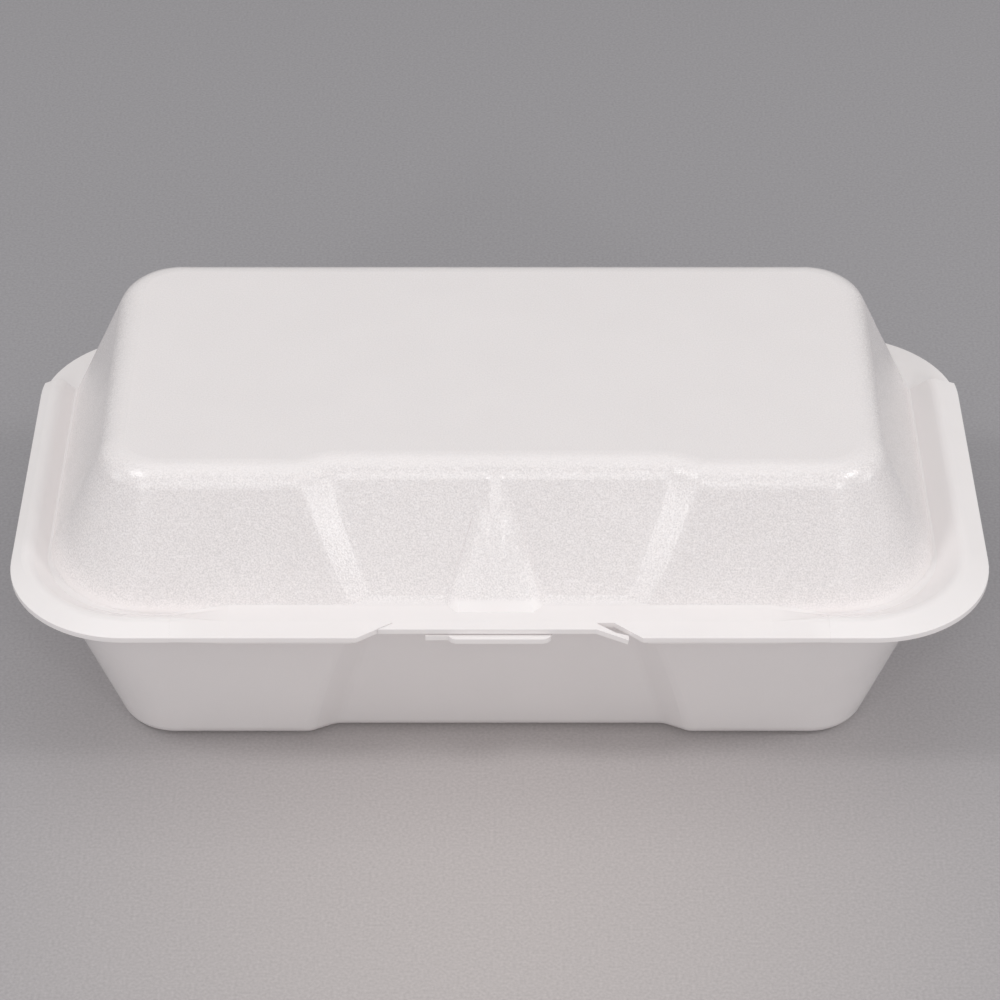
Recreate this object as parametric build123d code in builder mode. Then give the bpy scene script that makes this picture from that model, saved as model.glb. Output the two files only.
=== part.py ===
"""Foam clamshell container: a tray and a domed lid, formed from one sheet and hinged at the rear crease."""
import os
from build123d import *

# Overall sizes of the closed container, in millimetres
rim_length = 249.0
rim_width = 135.0
tray_height = 49.0
lid_height = 35.0
rim_corner = 31.0
form_offset = -1.9

# The foam sheet: full thickness in the walls, pressed thinner in the rims
wall = 2.2
rim_sheet = 1.4
nest_gap = 0.3
crease_gap = 0.15
overrun = 12.0

# Where the walls leave the rims, measured in from the lid's outer edge
foot_side_margin = 11.1
foot_front_margin = 12.2
foot_rear_margin = 3.7
foot_front_corner = 29.0
foot_rear_corner = 24.0

# The lid's lean between its foot and its top
lid_side_lean = 15.9
lid_front_lean = 14.9
lid_rear_lean = 8.6
lid_top_corner = 14.5
lid_top_round = 7.7

# The tray's lean between its mouth and its floor
tray_mouth_swell = 0.5
tray_side_lean = 16.8
tray_front_lean = 11.3
tray_rear_lean = 11.0
tray_mouth_corner = 22.0
tray_floor_corner = 15.0
tray_floor_round = 4.5

# The panels set back in both front walls, wide at the far edge and narrow at the rim
panel_rim_half = 36.2
panel_far_half = 48.8
panel_bank = 5.3
panel_rim_depth = 1.2
panel_lid_depth = 3.8
panel_tray_depth = 3.4
panel_round = 6.0

# The raised strips along both ends and round the front corners of the rims
strip_rise = 3.9
strip_edge_rise = 2.0
strip_crest_in = 5.9
strip_round = 3.4
groove_width = 0.6
groove_corner = 26.0
strip_rear_end = 42.0
tray_rim_tuck = 1.6

# The flat shelf along the front, which turns up into the wall by a cove and blends into the strips
shelf_rise = 2.0
shelf_corner_margin = 2.4
shelf_blend = 14.0
blend_inset = 0.06
shelf_set_back = 3.3
shelf_crown = 0.2
shelf_cove = 3.5
strip_cove = 0.7
cove_reach = 2.4
cove_sink = 0.2

# The slits that free the shelf's middle: a closed cut on the left, a gaping one on the right
slit_inner_in = 5.8
closed_slit_inner = 26.9
slit_outer = 35.6
closed_slit = 0.3
open_slit_inner = 28.6

# The right end of the freed middle, bent down as a small wing beside its open slit
wing_root = 24.2
wing_notch = 28.9
wing_notch_in = 3.1
wing_end = 32.2
wing_end_in = 2.6
wing_tip_in = 0.8
wing_droop = 1.4

# The tray's tongue under the shelf, between two notches
tongue_half = 13.0
tongue_corner = 2.5
tongue_shoulder = 5.5
tongue_shoulder_depth = 1.4
notch_half = 36.8
notch_depth = 5.4

# The wedge raised on the lid's front: a narrow blade that splays to a broad foot, hollow behind
wedge_offset = 1.1
wedge_tip_half = 0.8
wedge_top_half = 1.25
wedge_foot_half = 9.9
wedge_tip_facet = 0.7
wedge_top_facet = 1.2
wedge_neck_facet = 3.3
wedge_foot_facet = 3.6
wedge_top_stand = 0.6
wedge_neck_stand = 1.5
wedge_foot_stand = 4.4
wedge_neck_height = 24.6
wedge_top_height = 29.8
wedge_tip_height = 31.6
wedge_tip_back = 0.8
wedge_hollow_margin = 1.6
wedge_hollow_height = 20.0
wedge_hollow_half = 0.5

# Places that follow from the sizes above
half_length = rim_length / 2
half_width = rim_width / 2
ledge_top = tray_height + rim_sheet
lid_top = tray_height + lid_height
foot_half = half_length - foot_side_margin
foot_front = foot_front_margin - half_width
foot_rear = half_width - foot_rear_margin
shelf_half = foot_half - foot_front_corner - shelf_corner_margin - shelf_blend
rim_rear = half_width - crease_gap
crest_half = foot_half + strip_crest_in
crest_front = foot_front - strip_crest_in
groove_front = foot_front - groove_width
lid_crest = ledge_top + strip_rise
lid_edge = ledge_top + strip_edge_rise
shelf_top = ledge_top + shelf_rise
shelf_front = shelf_set_back - half_width
tray_crest = lid_crest - rim_sheet - nest_gap
tray_fall_share = 1 - tray_rim_tuck / (half_length - crest_half)
tray_edge = tray_crest - (lid_crest - lid_edge) * tray_fall_share
tray_shelf_top = shelf_top - rim_sheet - nest_gap
tray_front_edge = tray_rim_tuck - half_width


def plan(level, middle, half, front, rear, front_round, rear_round):
    """A rounded outline at one level, about a middle line."""
    with BuildSketch(Plane.XY.offset(level)) as outline:
        with Locations((middle, (front + rear) / 2)):
            Rectangle(2 * half, rear - front)
        fillet(outline.vertices().group_by(Axis.Y)[0], front_round)
        fillet(outline.vertices().group_by(Axis.Y)[-1], rear_round)
    return outline.sketch


def panel_plan(level, front, far_share, far_depth):
    """The plan of the cut that sets back the front panel, at one level."""
    depth = panel_rim_depth + (far_depth - panel_rim_depth) * far_share
    half = panel_rim_half + (panel_far_half - panel_rim_half) * far_share
    mouth_half = half + overrun * panel_bank / depth
    with BuildSketch(Plane.XY.offset(level)) as cut:
        with BuildLine():
            Polyline(
                (-mouth_half, front - overrun), (panel_bank - half, front + depth),
                (half - panel_bank, front + depth), (mouth_half, front - overrun), close=True,
            )
        make_face()
    return cut.sketch


def lid_plan(level, inset):
    """The lid's wall outline at a level, moved inwards by the inset."""
    share = (level - ledge_top) / (lid_top - ledge_top)
    return plan(
        level,
        form_offset,
        foot_half - lid_side_lean * share - inset,
        foot_front + lid_front_lean * share + inset,
        foot_rear - lid_rear_lean * share - inset,
        foot_front_corner + (lid_top_corner - foot_front_corner) * share - inset,
        foot_rear_corner + (lid_top_corner - foot_rear_corner) * share - inset,
    )


def lid_panel(level, inset):
    """The lid's panel cut at a level, moved inwards by the inset."""
    share = (level - ledge_top) / (lid_top - ledge_top)
    return panel_plan(level, foot_front + lid_front_lean * share + inset, share, panel_lid_depth)


def tray_plan(level, inset):
    """The tray's wall outline at a level, moved inwards by the inset."""
    share = (tray_height - level) / tray_height
    corner = tray_mouth_corner + (tray_floor_corner - tray_mouth_corner) * share - inset
    return plan(
        level,
        form_offset,
        foot_half + tray_mouth_swell - tray_side_lean * share - inset,
        foot_front + tray_front_lean * share + inset,
        foot_rear - tray_rear_lean * share - inset,
        corner,
        corner,
    )


def tray_panel(level, inset):
    """The tray's panel cut at a level, moved inwards by the inset."""
    share = (tray_height - level) / tray_height
    return panel_plan(level, foot_front + tray_front_lean * share + inset, share, panel_tray_depth)


def bowl(outline, panel, rim_level, far_level, inset, far_round):
    """A leaning, round-edged form with its front panel set back; the far level is its closed end."""
    past = far_level + (overrun if far_level > rim_level else -overrun)
    with BuildPart() as form:
        loft([outline(rim_level, inset), outline(far_level, inset)], ruled=True)
        loft([panel(rim_level, inset), panel(past, inset)], ruled=True, mode=Mode.SUBTRACT)
        long_edges = form.edges().filter_by(lambda edge: edge.bounding_box().size.Z > overrun)
        banks = long_edges.filter_by_position(Axis.X, -panel_far_half, panel_far_half).filter_by(
            lambda edge: edge.center().Y < 0)
        fillet(banks, panel_round)
        ends = form.faces().filter_by(Plane.XY).sort_by(Axis.Z)
        closed_end = ends[-1] if far_level > rim_level else ends[0]
        fillet(closed_end.edges(), far_round)
    return form.part


def strip_form(flat, crest, edge, tuck, rear_end, shift):
    """All that lies under a raised strip: a round ridge that falls to the groove and to the rim's edge."""
    edge_line = plan(edge, 0, half_length - tuck, tuck - half_width, rim_rear, rim_corner - tuck, rim_corner)
    crest_corner = (rim_corner + groove_corner) / 2
    groove_half = foot_half + groove_width + shift
    crest_line = plan(crest, form_offset / 2, crest_half, crest_front, rim_rear, crest_corner, rim_corner)
    groove_line = plan(
        flat, form_offset, groove_half, groove_front - shift, foot_rear, groove_corner, foot_rear_corner)
    with BuildPart() as form:
        extrude(edge_line, flat - rim_sheet - edge)
        loft([edge_line, crest_line], ruled=True)
        loft([groove_line, crest_line], ruled=True, mode=Mode.SUBTRACT)
        extrude(groove_line, -overrun, mode=Mode.SUBTRACT)
        split(bisect_by=Plane.XZ.offset(-rear_end), keep=Keep.TOP)
        ridge = form.edges().filter_by_position(Axis.Z, crest - nest_gap / 2, crest + nest_gap / 2)
        fillet(ridge, strip_round)
    return form.part


def rim_section(place, inset, cove, wall_top, wall_foot, groove, crest, edge):
    """The rim's cross section at a place along the front, made thinner by the inset on every side."""
    upper = [wall_top, wall_foot, groove, crest, (edge[0] + inset, edge[1])]
    lower = [(depth, level - rim_sheet + inset) for depth, level in reversed(upper[1:])]
    with BuildSketch(Plane.YZ.offset(place)) as section:
        with BuildLine():
            Polyline(
                [(depth, level - inset) for depth, level in upper] + lower + [(wall_top[0], lower[-1][1])],
                close=True,
            )
        make_face()
        bends = section.vertices().filter_by_position(Axis.X, crest[0] - blend_inset, crest[0] + blend_inset)
        fillet(bends, strip_round)
        feet = section.vertices().filter_by_position(
            Axis.X, wall_foot[0] - blend_inset, wall_foot[0] + blend_inset)
        if cove:
            fillet(feet.sort_by(Axis.Y)[-1], cove)
    return section.sketch


def front_shelf(strip_profile, shelf_profile):
    """The front of a rim: a shelf that blends into the strips, its ends a hair inside their sections."""
    outer = shelf_half + shelf_blend + blend_inset
    with BuildPart() as shelf:
        loft([
            rim_section(-outer, blend_inset, *strip_profile), rim_section(-shelf_half, 0, *shelf_profile),
            rim_section(shelf_half, 0, *shelf_profile), rim_section(outer, blend_inset, *strip_profile),
        ], ruled=True)
    return shelf.part


def slab(bottom, top, left, right, front, rear):
    """A plain block between two levels, used to clear room."""
    with BuildPart() as block:
        with BuildSketch(Plane.XY.offset(bottom)):
            with Locations(((left + right) / 2, (front + rear) / 2)):
                Rectangle(right - left, rear - front)
        extrude(amount=top - bottom)
    return block.part


def rim_blank(level, strip, strip_under, tuck):
    """A flat rim with its raised strip pressed in, open at the front where the shelf goes."""
    clear_half = shelf_half + shelf_blend
    with BuildPart() as rim:
        extrude(plan(level - rim_sheet, 0, half_length - tuck, tuck - half_width, rim_rear,
                     rim_corner - tuck, rim_corner), rim_sheet)
        add(strip)
        add(strip_under, mode=Mode.SUBTRACT)
        front_room = slab(
            level - overrun, level + overrun, -clear_half, clear_half, -half_width - overrun, groove_front)
        add(front_room, mode=Mode.SUBTRACT)
    return rim.part


def panel_face(level):
    """How far back the lid's front panel lies at a level."""
    share = (level - ledge_top) / (lid_top - ledge_top)
    return foot_front + lid_front_lean * share + panel_rim_depth + (panel_lid_depth - panel_rim_depth) * share


def wedge_section(level, half, facet, stand, back):
    """The wedge's plan at a level, moved back from the panel's face."""
    face = panel_face(level) + back
    foot = half + facet
    with BuildSketch(Plane.XY.offset(level)) as section:
        with BuildLine():
            Polyline(
                (-foot - wedge_offset, face + rim_sheet), (-foot - wedge_offset, face),
                (-half - wedge_offset, face - stand), (half - wedge_offset, face - stand),
                (foot - wedge_offset, face), (foot - wedge_offset, face + rim_sheet), close=True,
            )
        make_face()
    return section.sketch


# Tray: floor, leaning walls, and a rim pressed up in parallel under the lid's rim
tray_strip_end = strip_rear_end - rim_sheet - nest_gap
tray_strip = strip_form(tray_height, tray_crest, tray_edge, tray_rim_tuck, tray_strip_end, nest_gap)
tray_strip_under = strip_form(tray_height - rim_sheet, tray_crest - rim_sheet, tray_edge - rim_sheet,
                              tray_rim_tuck, tray_strip_end - rim_sheet, nest_gap)
tray_groove = (groove_front - nest_gap, tray_height)
tray_panel_foot = foot_front + panel_rim_depth
notch_rear = tray_front_edge + notch_depth

with BuildPart() as base_tray:
    add(rim_blank(tray_height, tray_strip, tray_strip_under, tray_rim_tuck))
    add(bowl(tray_plan, tray_panel, tray_height, 0, 0, tray_floor_round))
    add(bowl(tray_plan, tray_panel, tray_height + nest_gap, wall, wall, tray_floor_round - wall),
        mode=Mode.SUBTRACT)
    add(front_shelf(
        (0, (foot_front + wall / 2, tray_height), (foot_front, tray_height), tray_groove,
         (crest_front, tray_crest), (tray_front_edge, tray_edge)),
        (0, (tray_panel_foot + wall / 2, tray_height), (tray_panel_foot, tray_height), tray_groove,
         (crest_front, tray_shelf_top), (tray_front_edge, tray_shelf_top)),
    ))
    with BuildSketch(Plane.XY.offset(tray_height - overrun)):
        with Locations((0, notch_rear - overrun / 2)):
            Rectangle(2 * notch_half, overrun)
        with Locations((0, tray_front_edge + tongue_half)):
            RectangleRounded(2 * tongue_half, 2 * tongue_half, tongue_corner, mode=Mode.SUBTRACT)
        with Locations((tongue_corner - tongue_half, tray_front_edge + tongue_shoulder_depth)):
            Rectangle(
                tongue_corner + tongue_shoulder, overrun, align=(Align.MAX, Align.MIN), mode=Mode.SUBTRACT)
    extrude(amount=2 * overrun, mode=Mode.SUBTRACT)

base_tray.part.label = "base_tray"

# Lid: a domed shell whose rim carries the raised strips and the front shelf
lid_strip = strip_form(ledge_top, lid_crest, lid_edge, 0, strip_rear_end, 0)
lid_strip_under = strip_form(tray_height, lid_crest - rim_sheet, lid_edge - rim_sheet, 0,
                             strip_rear_end - rim_sheet, 0)
lid_cove_lean = lid_front_lean * cove_reach / (lid_top - ledge_top)
lid_wall_face = foot_front + cove_sink
shelf_wall_face = panel_face(shelf_top) + cove_sink
wedge_foot = shelf_top - rim_sheet / 2
wedge_hollow_foot = wedge_foot_half - wedge_hollow_margin
wedge_hollow_top = ledge_top + wedge_hollow_height
shelf_under = shelf_top - rim_sheet
slit_rear = slit_inner_in - half_width
slit_run_share = (shelf_front - slit_rear) / (-half_width - slit_rear)
slit_meets_front = closed_slit_inner + (slit_outer - closed_slit_inner) * slit_run_share
wing_start = (wing_root, 0, shelf_top + shelf_crown / 2)
wing_run = wing_end - wing_root

with BuildPart() as lid:
    add(rim_blank(ledge_top, lid_strip, lid_strip_under, 0))
    add(bowl(lid_plan, lid_panel, tray_height, lid_top, 0, lid_top_round))
    loft([
        wedge_section(wedge_foot, wedge_foot_half, wedge_foot_facet, wedge_foot_stand, 0),
        wedge_section(ledge_top + wedge_neck_height, wedge_top_half, wedge_neck_facet, wedge_neck_stand, 0),
        wedge_section(ledge_top + wedge_top_height, wedge_top_half, wedge_top_facet, wedge_top_stand, 0),
        wedge_section(ledge_top + wedge_tip_height, wedge_tip_half, wedge_tip_facet, 0, wedge_tip_back),
    ], ruled=True)
    add(bowl(lid_plan, lid_panel, tray_height - nest_gap, lid_top - wall, wall, lid_top_round - wall),
        mode=Mode.SUBTRACT)
    shelf_room = slab(
        tray_height - overrun, shelf_under, -shelf_half, shelf_half, groove_front, foot_front + overrun)
    add(shelf_room, mode=Mode.SUBTRACT)
    add(front_shelf(
        (strip_cove, (lid_wall_face + lid_cove_lean, ledge_top + cove_reach), (lid_wall_face, ledge_top),
         (groove_front, ledge_top), (crest_front, lid_crest), (-half_width, lid_edge)),
        (shelf_cove, (shelf_wall_face + lid_cove_lean, shelf_top + cove_reach), (shelf_wall_face, shelf_top),
         (groove_front, shelf_top), (crest_front, shelf_top + shelf_crown), (-half_width, shelf_top)),
    ))
    loft([
        wedge_section(tray_height, wedge_hollow_foot, wedge_foot_facet, wedge_foot_stand, wall),
        wedge_section(wedge_hollow_top, wedge_hollow_half, wedge_top_facet, wedge_top_stand, wall),
    ], ruled=True, mode=Mode.SUBTRACT)
    with BuildSketch(Plane.XY.offset(tray_height)):
        with BuildLine():
            Polyline(
                (-slit_outer, -half_width - overrun), (-slit_outer, -half_width),
                (-slit_meets_front, shelf_front), (-closed_slit_inner, slit_rear),
                (closed_slit - closed_slit_inner, slit_rear), (closed_slit - slit_meets_front, shelf_front),
                (wing_root, shelf_front), (wing_root, slit_rear), (open_slit_inner, slit_rear),
                (slit_outer, -half_width), (slit_outer, -half_width - overrun), close=True,
            )
        make_face()
    extrude(amount=overrun, mode=Mode.SUBTRACT)
    with BuildSketch(Plane(wing_start, x_dir=(wing_run, 0, -wing_droop), z_dir=(wing_droop, 0, wing_run))):
        with BuildLine():
            Polyline(
                (0, shelf_front), (0, slit_rear), (wing_notch - wing_root, wing_notch_in - half_width),
                (wing_run, wing_end_in - half_width), (wing_run, wing_tip_in - half_width), close=True,
            )
        make_face()
    extrude(amount=-rim_sheet)

lid.part.label = "lid"

os.makedirs("parts", exist_ok=True)
export_step(base_tray.part, "parts/base_tray.step")
export_step(lid.part, "parts/lid.step")
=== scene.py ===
import math
import bpy
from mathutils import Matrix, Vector

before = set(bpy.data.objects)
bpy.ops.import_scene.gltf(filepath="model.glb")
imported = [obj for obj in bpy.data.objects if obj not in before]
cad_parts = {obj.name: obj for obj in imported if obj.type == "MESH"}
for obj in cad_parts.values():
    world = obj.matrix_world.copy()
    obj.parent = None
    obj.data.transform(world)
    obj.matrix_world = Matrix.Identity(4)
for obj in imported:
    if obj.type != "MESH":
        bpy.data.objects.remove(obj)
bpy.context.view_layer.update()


# The tray. Tray and lid are one sheet of expanded foam, formed between warm moulds. The rims are pressed
# dense, so that they come out smooth and a little whiter, and end in a tongue at the tray's front. The tray's
# walls are drawn furthest: their cells are pulled flat, and the grain that the lid's walls have is faint.
rim_white = (0.918, 0.876, 0.871, 1)
tray_white = (0.89, 0.853, 0.851, 1)
tray_rim_reach = 0.001
tray_wall_grain = 0.06
tray_flat_grain = 0.04
cell_size = 0.00042
cell_depth = 0.00006
cell_tint = 0.55
cell_layers = 1
cloud_size = 0.016
cloud_layers = 3
cloud_dark = 0.975
cloud_light = 1.015
skin_gloss_low = 0.21
skin_gloss_high = 0.26
skin_index = 1.59
skin_glow = 0.12
skin_glow_reach = (1, 0.95, 0.9)
skin_glow_depth = 0.0015
wall_middle = -0.0019
wall_half = 0.1134
wall_front = -0.0553
wall_rear = 0.0638
wall_corner = 0.029
strip_top = 0.0544
strip_fade = 0.0012
flat_upright = 0.99
steep_upright = 0.72


def worked_out(tree, operation, *sources):
    """A number from others, each of them another node's output or a plain number."""
    node = tree.nodes.new("ShaderNodeMath")
    node.operation = operation
    for source, socket in zip(sources, node.inputs):
        if isinstance(source, bpy.types.NodeSocket):
            tree.links.new(source, socket)
        else:
            socket.default_value = source
    return node.outputs["Value"]


def eased(tree, source, start, end, low=0, high=1, shape="SMOOTHSTEP"):
    """A number that goes from low to high while the source goes from start to end."""
    node = tree.nodes.new("ShaderNodeMapRange")
    node.interpolation_type = shape
    for socket, value in (("From Min", start), ("From Max", end), ("To Min", low), ("To Max", high)):
        node.inputs[socket].default_value = value
    tree.links.new(source, node.inputs["Value"])
    return node.outputs["Result"]


def mottle(tree, place, size, layers):
    """Soft blotches of a given size, as a number from 0 to 1."""
    node = tree.nodes.new("ShaderNodeTexNoise")
    node.inputs["Scale"].default_value = 1 / size
    node.inputs["Detail"].default_value = layers
    tree.links.new(place, node.inputs["Vector"])
    return node.outputs["Fac"]


def tinted_blend(tree, share, first, second, tint):
    """A colour from the first to the second, made darker or lighter by the tint."""
    blend = tree.nodes.new("ShaderNodeMix")
    blend.data_type = "RGBA"
    blend.inputs["A"].default_value = first
    blend.inputs["B"].default_value = second
    tree.links.new(share, blend.inputs["Factor"])
    tinted = tree.nodes.new("ShaderNodeVectorMath")
    tinted.operation = "SCALE"
    tree.links.new(blend.outputs["Result"], tinted.inputs["Vector"])
    tree.links.new(tint, tinted.inputs["Scale"])
    return tinted.outputs["Vector"]


def beyond_wall(tree, place):
    """How far a point lies outside the line where the lid's wall leaves the rim, seen from above."""
    middle = (wall_middle, (wall_front + wall_rear) / 2, 0)
    corner = (wall_half - wall_corner, (wall_rear - wall_front) / 2 - wall_corner, 0)
    for operation, value in (
        ("SUBTRACT", middle), ("MULTIPLY", (1, 1, 0)), ("ABSOLUTE", None),
        ("SUBTRACT", corner), ("MAXIMUM", (0, 0, 0)),
    ):
        step = tree.nodes.new("ShaderNodeVectorMath")
        step.operation = operation
        if value:
            step.inputs[1].default_value = value
        tree.links.new(place, step.inputs[0])
        place = step.outputs["Vector"]
    away = tree.nodes.new("ShaderNodeVectorMath")
    away.operation = "LENGTH"
    tree.links.new(place, away.inputs[0])
    return worked_out(tree, "SUBTRACT", away.outputs["Value"], wall_corner)


def foam_skin(name, wall_colour, rim_end, wall_start, wall_grain, flat_grain):
    """Foam whose rim is smooth and white, and whose grain is fullest on the steep walls."""
    material = bpy.data.materials.new(name)
    material.use_nodes = True
    tree = material.node_tree
    shader = tree.nodes["Principled BSDF"]
    place = tree.nodes.new("ShaderNodeTexCoord")

    # From the pressed rim to the wall. All that stands higher than the rim's strips is wall, the wedge too
    height = tree.nodes.new("ShaderNodeSeparateXYZ")
    tree.links.new(place.outputs["Object"], height.inputs["Vector"])
    off_rim = eased(tree, beyond_wall(tree, place.outputs["Object"]), rim_end, wall_start)
    over_rim = eased(tree, height.outputs["Z"], strip_top, strip_top + strip_fade)
    on_wall = worked_out(tree, "MAXIMUM", off_rim, over_rim)

    # From flat faces to steep walls, by the way the face points
    facing = tree.nodes.new("ShaderNodeSeparateXYZ")
    tree.links.new(place.outputs["Normal"], facing.inputs["Vector"])
    upright = worked_out(tree, "ABSOLUTE", facing.outputs["Z"])
    steep = eased(tree, upright, flat_upright, steep_upright, flat_grain, wall_grain)
    grain_here = worked_out(tree, "MULTIPLY", on_wall, steep)

    # Opened cells, and the slow cloudiness of the sheet
    cells = mottle(tree, place.outputs["Object"], cell_size, cell_layers)
    cloud = mottle(tree, place.outputs["Object"], cloud_size, cloud_layers)
    cloudy = eased(tree, cloud, 0, 1, cloud_dark, cloud_light, "LINEAR")
    pore = worked_out(tree, "MULTIPLY", worked_out(tree, "SUBTRACT", cells, 1 / 2), grain_here)
    tint = worked_out(tree, "MULTIPLY_ADD", pore, cell_tint, cloudy)
    colour = tinted_blend(tree, on_wall, rim_white, wall_colour, tint)
    tree.links.new(colour, shader.inputs["Base Color"])
    gloss = eased(tree, cloud, 0, 1, skin_gloss_low, skin_gloss_high, "LINEAR")
    tree.links.new(gloss, shader.inputs["Roughness"])

    grain = tree.nodes.new("ShaderNodeBump")
    grain.inputs["Distance"].default_value = cell_depth
    tree.links.new(grain_here, grain.inputs["Strength"])
    tree.links.new(cells, grain.inputs["Height"])
    tree.links.new(grain.outputs["Normal"], shader.inputs["Normal"])

    # The little light that goes in and comes out again beside
    shader.inputs["IOR"].default_value = skin_index
    shader.inputs["Subsurface Weight"].default_value = skin_glow
    shader.inputs["Subsurface Radius"].default_value = skin_glow_reach
    shader.inputs["Subsurface Scale"].default_value = skin_glow_depth
    return material


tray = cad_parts["base_tray"]
tray.data.materials.clear()
tray.data.materials.append(
    foam_skin("tray_skin", tray_white, tray_rim_reach, 0, tray_wall_grain, tray_flat_grain))


# The lid: a dome whose front is set back in a panel with a hollow wedge on it. Its rim carries the raised
# strips and the front shelf, pressed smooth, and the grain of its walls begins just above the rim.
lid_white = (0.865, 0.823, 0.82, 1)
lid_wall_reach = 0.0014
lid_wall_grain = 0.95
lid_flat_grain = 0.3
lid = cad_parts["lid"]
lid.data.materials.clear()
lid.data.materials.append(
    foam_skin("lid_skin", lid_white, 0, -lid_wall_reach, lid_wall_grain, lid_flat_grain))


# The container stands on a plain grey sheet of paper in a studio. A pool of light is painted into the sheet's
# colour:
# it is lightest and warmest in front of the object, where it lies nearest to the lamps, and its colour alone
# makes the background.
paper_width = 8
paper_in_painted_light = (0.527, 0.488, 0.481, 1)
paper_outside_painted_light = (0.37, 0.359, 0.374, 1)
painted_light_pool_centre = (0, -0.11, 0)
painted_light_pool_reach = 0.22
paper_fibre_size = 0.0008
paper_fibre_layers = 2
paper_dark = 0.8
paper_light = 1.2
paper_roughness = 0.9
paper_shine = 0.2
bpy.ops.mesh.primitive_plane_add(size=paper_width)
floor = bpy.context.object
floor.name = "floor"
paper = bpy.data.materials.new("floor_paper")
paper.use_nodes = True
paper_tree = paper.node_tree
paper_shader = paper_tree.nodes["Principled BSDF"]
paper_shader.inputs["Roughness"].default_value = paper_roughness
paper_shader.inputs["Specular IOR Level"].default_value = paper_shine
paper_place = paper_tree.nodes.new("ShaderNodeTexCoord")
# Painted light: the paper's colour goes from a lighter, warmer pool in front of the object to a darker,
# cooler grey further off.
from_painted_light_centre = paper_tree.nodes.new("ShaderNodeVectorMath")
from_painted_light_centre.operation = "DISTANCE"
from_painted_light_centre.inputs[1].default_value = painted_light_pool_centre
paper_tree.links.new(paper_place.outputs["Object"], from_painted_light_centre.inputs[0])
painted_light_share = eased(paper_tree, from_painted_light_centre.outputs["Value"], 0, painted_light_pool_reach)
paper_fibre = mottle(paper_tree, paper_place.outputs["Object"], paper_fibre_size, paper_fibre_layers)
paper_tint = eased(paper_tree, paper_fibre, 0, 1, paper_dark, paper_light, "LINEAR")
# The paper's own fibre mottle, laid over the painted pool of light.
paper_fibre_and_painted_light = tinted_blend(paper_tree, painted_light_share, paper_in_painted_light, paper_outside_painted_light, paper_tint)
paper_tree.links.new(paper_fibre_and_painted_light, paper_shader.inputs["Base Color"])
floor.data.materials.append(paper)


# Studio light: a pale room all round, one soft box over the camera, a wide one overhead, and three small
# ones at each side. The front pair puts the gleams on the banks beside the set-back panel, the high pair
# those on the lid's corners, and the low pair lights the wedge's slopes.
room_white = (1, 1, 1, 1)
room_light = 0.46
box_aim = Vector((0, 0, 0.05))
box_distance = 1.3
world = bpy.data.worlds.new("room")
bpy.context.scene.world = world
world.use_nodes = True
world.node_tree.nodes["Background"].inputs["Color"].default_value = room_white
world.node_tree.nodes["Background"].inputs["Strength"].default_value = room_light
for name, turn, rise, width, height, watts in (
    ("front_soft_box", 0, 36, 0.4, 0.4, 1.2),
    ("overhead_soft_box", 0, 89, 1.1, 1.1, 2.3),
    ("front_left_soft_box", -30, 22, 0.12, 0.18, 1.2),
    ("front_right_soft_box", 30, 22, 0.12, 0.18, 1.3),
    ("high_left_soft_box", -62, 53, 0.16, 0.16, 2.3),
    ("high_right_soft_box", 66, 46, 0.16, 0.16, 2.3),
    ("low_left_soft_box", -80, 15, 0.2, 0.3, 0.8),
    ("low_right_soft_box", 80, 15, 0.2, 0.3, 0.9),
):
    box = bpy.data.lights.new(name, "AREA")
    box.shape = "RECTANGLE"
    box.size = width
    box.size_y = height
    box.energy = watts
    lamp = bpy.data.objects.new(name, box)
    turn = math.radians(turn)
    rise = math.radians(rise)
    lamp.location = box_aim + box_distance * Vector(
        (math.cos(rise) * math.sin(turn), -math.cos(rise) * math.cos(turn), math.sin(rise)))
    lamp.rotation_euler = (box_aim - lamp.location).to_track_quat("-Z", "Y").to_euler()
    bpy.context.scene.collection.objects.link(lamp)


# The camera looks down at the latch side from the front, as far off as the photograph's perspective says.
camera_rise = math.radians(37.15)
camera_distance = 0.9202
camera_aim = Vector((0, 0, 0.04424))
camera_shift = 0.00035
camera_nearest = 0.01
focal_share = 3.4776
sensor_width = 36
camera_data = bpy.data.cameras.new("camera")
camera_data.sensor_width = sensor_width
camera_data.lens = sensor_width * focal_share
camera_data.shift_x = camera_shift
camera_data.clip_start = camera_nearest
camera = bpy.data.objects.new("camera", camera_data)
camera.location = camera_aim + camera_distance * Vector((0, -math.cos(camera_rise), math.sin(camera_rise)))
camera.rotation_euler = (camera_aim - camera.location).to_track_quat("-Z", "Y").to_euler()
bpy.context.scene.collection.objects.link(camera)
bpy.context.scene.camera = camera
bpy.context.scene.view_settings.view_transform = "Standard"
